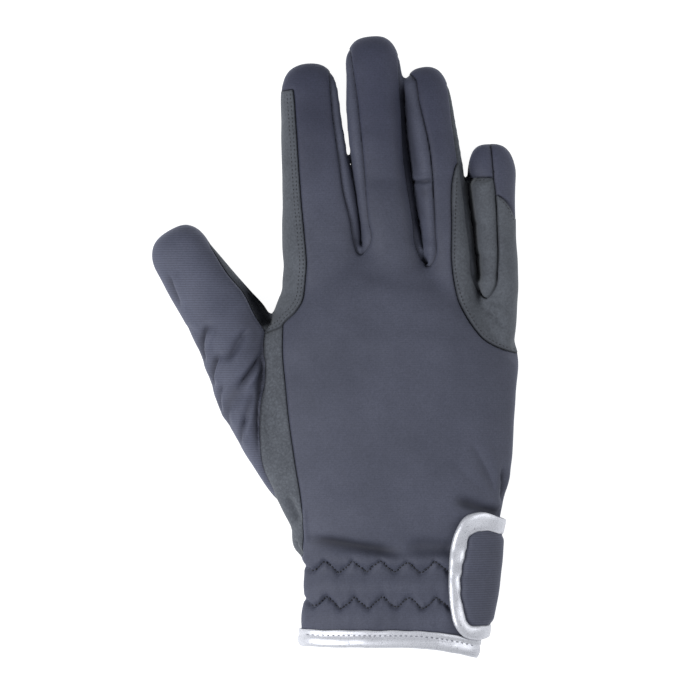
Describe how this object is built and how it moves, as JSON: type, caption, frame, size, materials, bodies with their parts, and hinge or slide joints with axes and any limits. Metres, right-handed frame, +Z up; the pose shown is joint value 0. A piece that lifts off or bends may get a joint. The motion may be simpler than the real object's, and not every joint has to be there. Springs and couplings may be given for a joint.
{
  "type": "horse riding glove",
  "caption": "Right-hand riding glove of grey softshell and suede, lying palm down, with an elastic wrist, silver bound hem and a closing tab.",
  "frame": {"origin": "on the flat underside, at the middle of the palm", "axes": "+Y along the hand towards the fingertips, +Z up through the back of the hand, the thumb on the -X side"},
  "size_m": [0.1399, 0.237, 0.0271],
  "materials": {
    "softshell": "matt knitted softshell",
    "suede": "fine suede nap",
    "silver": "crackled metallic silver",
    "pad": "hook and loop pile"
  },
  "bodies": {
    "root": {"back_panel": "softshell", "palm_panel": "suede", "index_patch": "suede", "thumb_back": "softshell", "thumb_front": "suede", "fourchette_index_middle": "softshell", "fourchette_middle_ring": "softshell", "fourchette_ring_little": "suede", "little_side": "softshell", "little_back": "softshell", "rein_patch": "suede", "cuff_binding": "silver", "tab_panel": "softshell", "tab_binding": "silver", "tab_fastener": "pad"}
  },
  "joints": []
}
